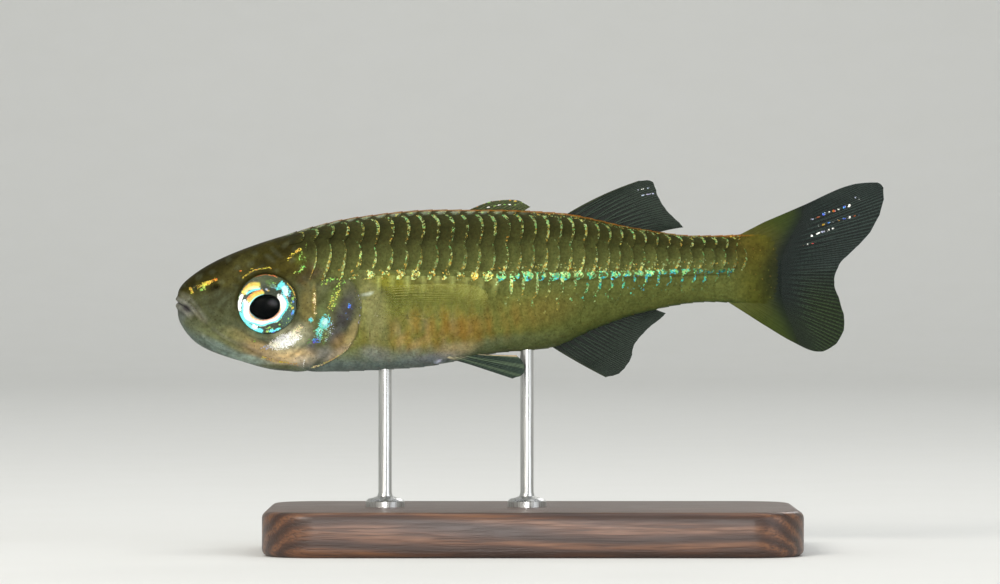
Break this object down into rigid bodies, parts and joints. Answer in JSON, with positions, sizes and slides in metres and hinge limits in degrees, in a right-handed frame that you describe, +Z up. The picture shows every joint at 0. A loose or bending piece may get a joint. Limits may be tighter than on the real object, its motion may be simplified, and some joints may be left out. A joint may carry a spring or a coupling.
{
  "type": "life-size telmatherina fish model on a display stand",
  "caption": "Still life-size model of a slender silverside aquarium fish with spread tail and fins, on a flat base with short rods.",
  "frame": {"origin": "middle of the stand base's flat underside", "axes": "+Z up from the table; -X towards the fish's snout, +X towards its tail; -Y is its left side"},
  "size_m": [0.0805, 0.034, 0.0418],
  "materials": {
    "skin": "olive-brown scaled fish skin with gold-green scale edges, wet gloss",
    "gill_silver": "silvery gill cover with pink, cyan and violet sheen",
    "eye": "glossy eye with silver and cyan iris and black pupil",
    "fin_membrane": "thin translucent grey-green fin with fine rays",
    "base_wood": "dark satin walnut",
    "rod_steel": "satin"
  },
  "bodies": {
    "root": {"head": "skin", "lower_jaw": "skin", "trunk": "skin", "tail_base": "skin", "gill_cover_left": "gill_silver", "gill_cover_right": "gill_silver", "eye_left": "eye", "eye_right": "eye", "first_dorsal_fin": "fin_membrane", "second_dorsal_fin": "fin_membrane", "anal_fin": "fin_membrane", "caudal_fin": "fin_membrane", "pectoral_fin_left": "fin_membrane", "pectoral_fin_right": "fin_membrane", "pelvic_fin_left": "fin_membrane", "pelvic_fin_right": "fin_membrane", "stand_base": "base_wood", "stand_rod_front": "rod_steel", "stand_rod_rear": "rod_steel"}
  },
  "joints": []
}
